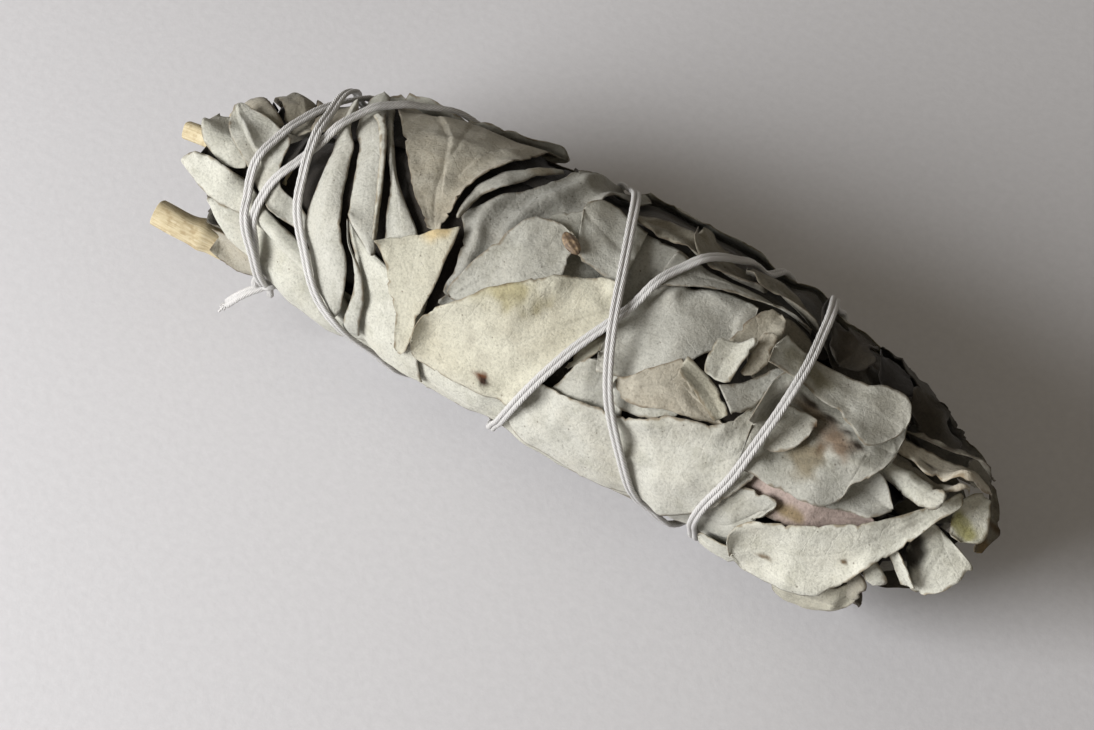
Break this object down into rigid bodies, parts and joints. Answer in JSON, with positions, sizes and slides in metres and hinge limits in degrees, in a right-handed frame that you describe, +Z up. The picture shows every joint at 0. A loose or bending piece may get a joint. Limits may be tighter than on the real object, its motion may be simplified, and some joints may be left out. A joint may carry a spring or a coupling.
{
  "type": "white sage bundle",
  "caption": "Dried white sage leaves packed lengthwise with cut stems at one end and curling tips at the other, bound with braided cotton twine; lies on its flattened underside",
  "frame": {"origin": "middle of the footprint, on the surface the bundle lies on", "axes": "+X along the bundle from the stem end to the leaf tips, +Z up"},
  "size_m": [0.1156, 0.0392, 0.0379],
  "materials": {
    "leaf": "matt, velvety dried leaf",
    "leaf_inner": "matt dried leaf in shade",
    "stem": "matt dry tan stem",
    "bud": "matt dry brown",
    "twine": "matt white cotton"
  },
  "bodies": {
    "root": {"leaf_inner_1": "leaf_inner", "leaf_inner_2": "leaf_inner", "leaf_inner_3": "leaf_inner", "leaf_inner_4": "leaf_inner", "leaf_heart_1": "leaf_inner", "leaf_heart_2": "leaf_inner", "stem_top": "stem", "stem_under": "stem", "stem_far": "stem", "leaf_far_low": "leaf", "leaf_far_mid": "leaf", "leaf_near_low": "leaf", "leaf_under_long": "leaf", "stem_main": "stem", "leaf_base_1": "leaf", "leaf_base_2": "leaf", "leaf_base_3": "leaf", "leaf_base_4": "leaf", "leaf_base_5": "leaf", "leaf_base_6": "leaf", "leaf_over_top": "leaf", "leaf_near_long": "leaf", "leaf_near_pale": "leaf", "leaf_triangle": "leaf", "leaf_furrowed": "leaf", "leaf_rolled_edge": "leaf", "leaf_by_bud": "leaf", "leaf_far_top": "leaf", "leaf_top_small": "leaf", "leaf_pale_broad": "leaf", "leaf_grey_smooth": "leaf", "leaf_central": "leaf", "leaf_broken_tip": "leaf", "leaf_wavy": "leaf", "leaf_broken_curl": "leaf", "leaf_creased": "leaf", "leaf_curled_strip": "leaf", "leaf_pinkish": "leaf", "leaf_rolled_1": "leaf", "leaf_rolled_2": "leaf", "leaf_far_crumpled": "leaf", "leaf_far_tip": "leaf", "leaf_torn_flat": "leaf", "leaf_low_tip_1": "leaf", "leaf_low_tip_2": "leaf", "leaf_white_tip": "leaf", "leaf_tip_curl": "leaf", "leaf_far_broad": "leaf", "leaf_far_long": "leaf", "leaf_far_stem_end": "leaf", "leaf_under_far": "leaf", "leaf_under_stem_end": "leaf", "leaf_under_middle": "leaf", "bud_dry": "bud", "twine_run_out": "twine", "twine_stem_loop": "twine", "twine_run_back": "twine", "twine_knot": "twine", "twine_tail": "twine"}
  },
  "joints": []
}
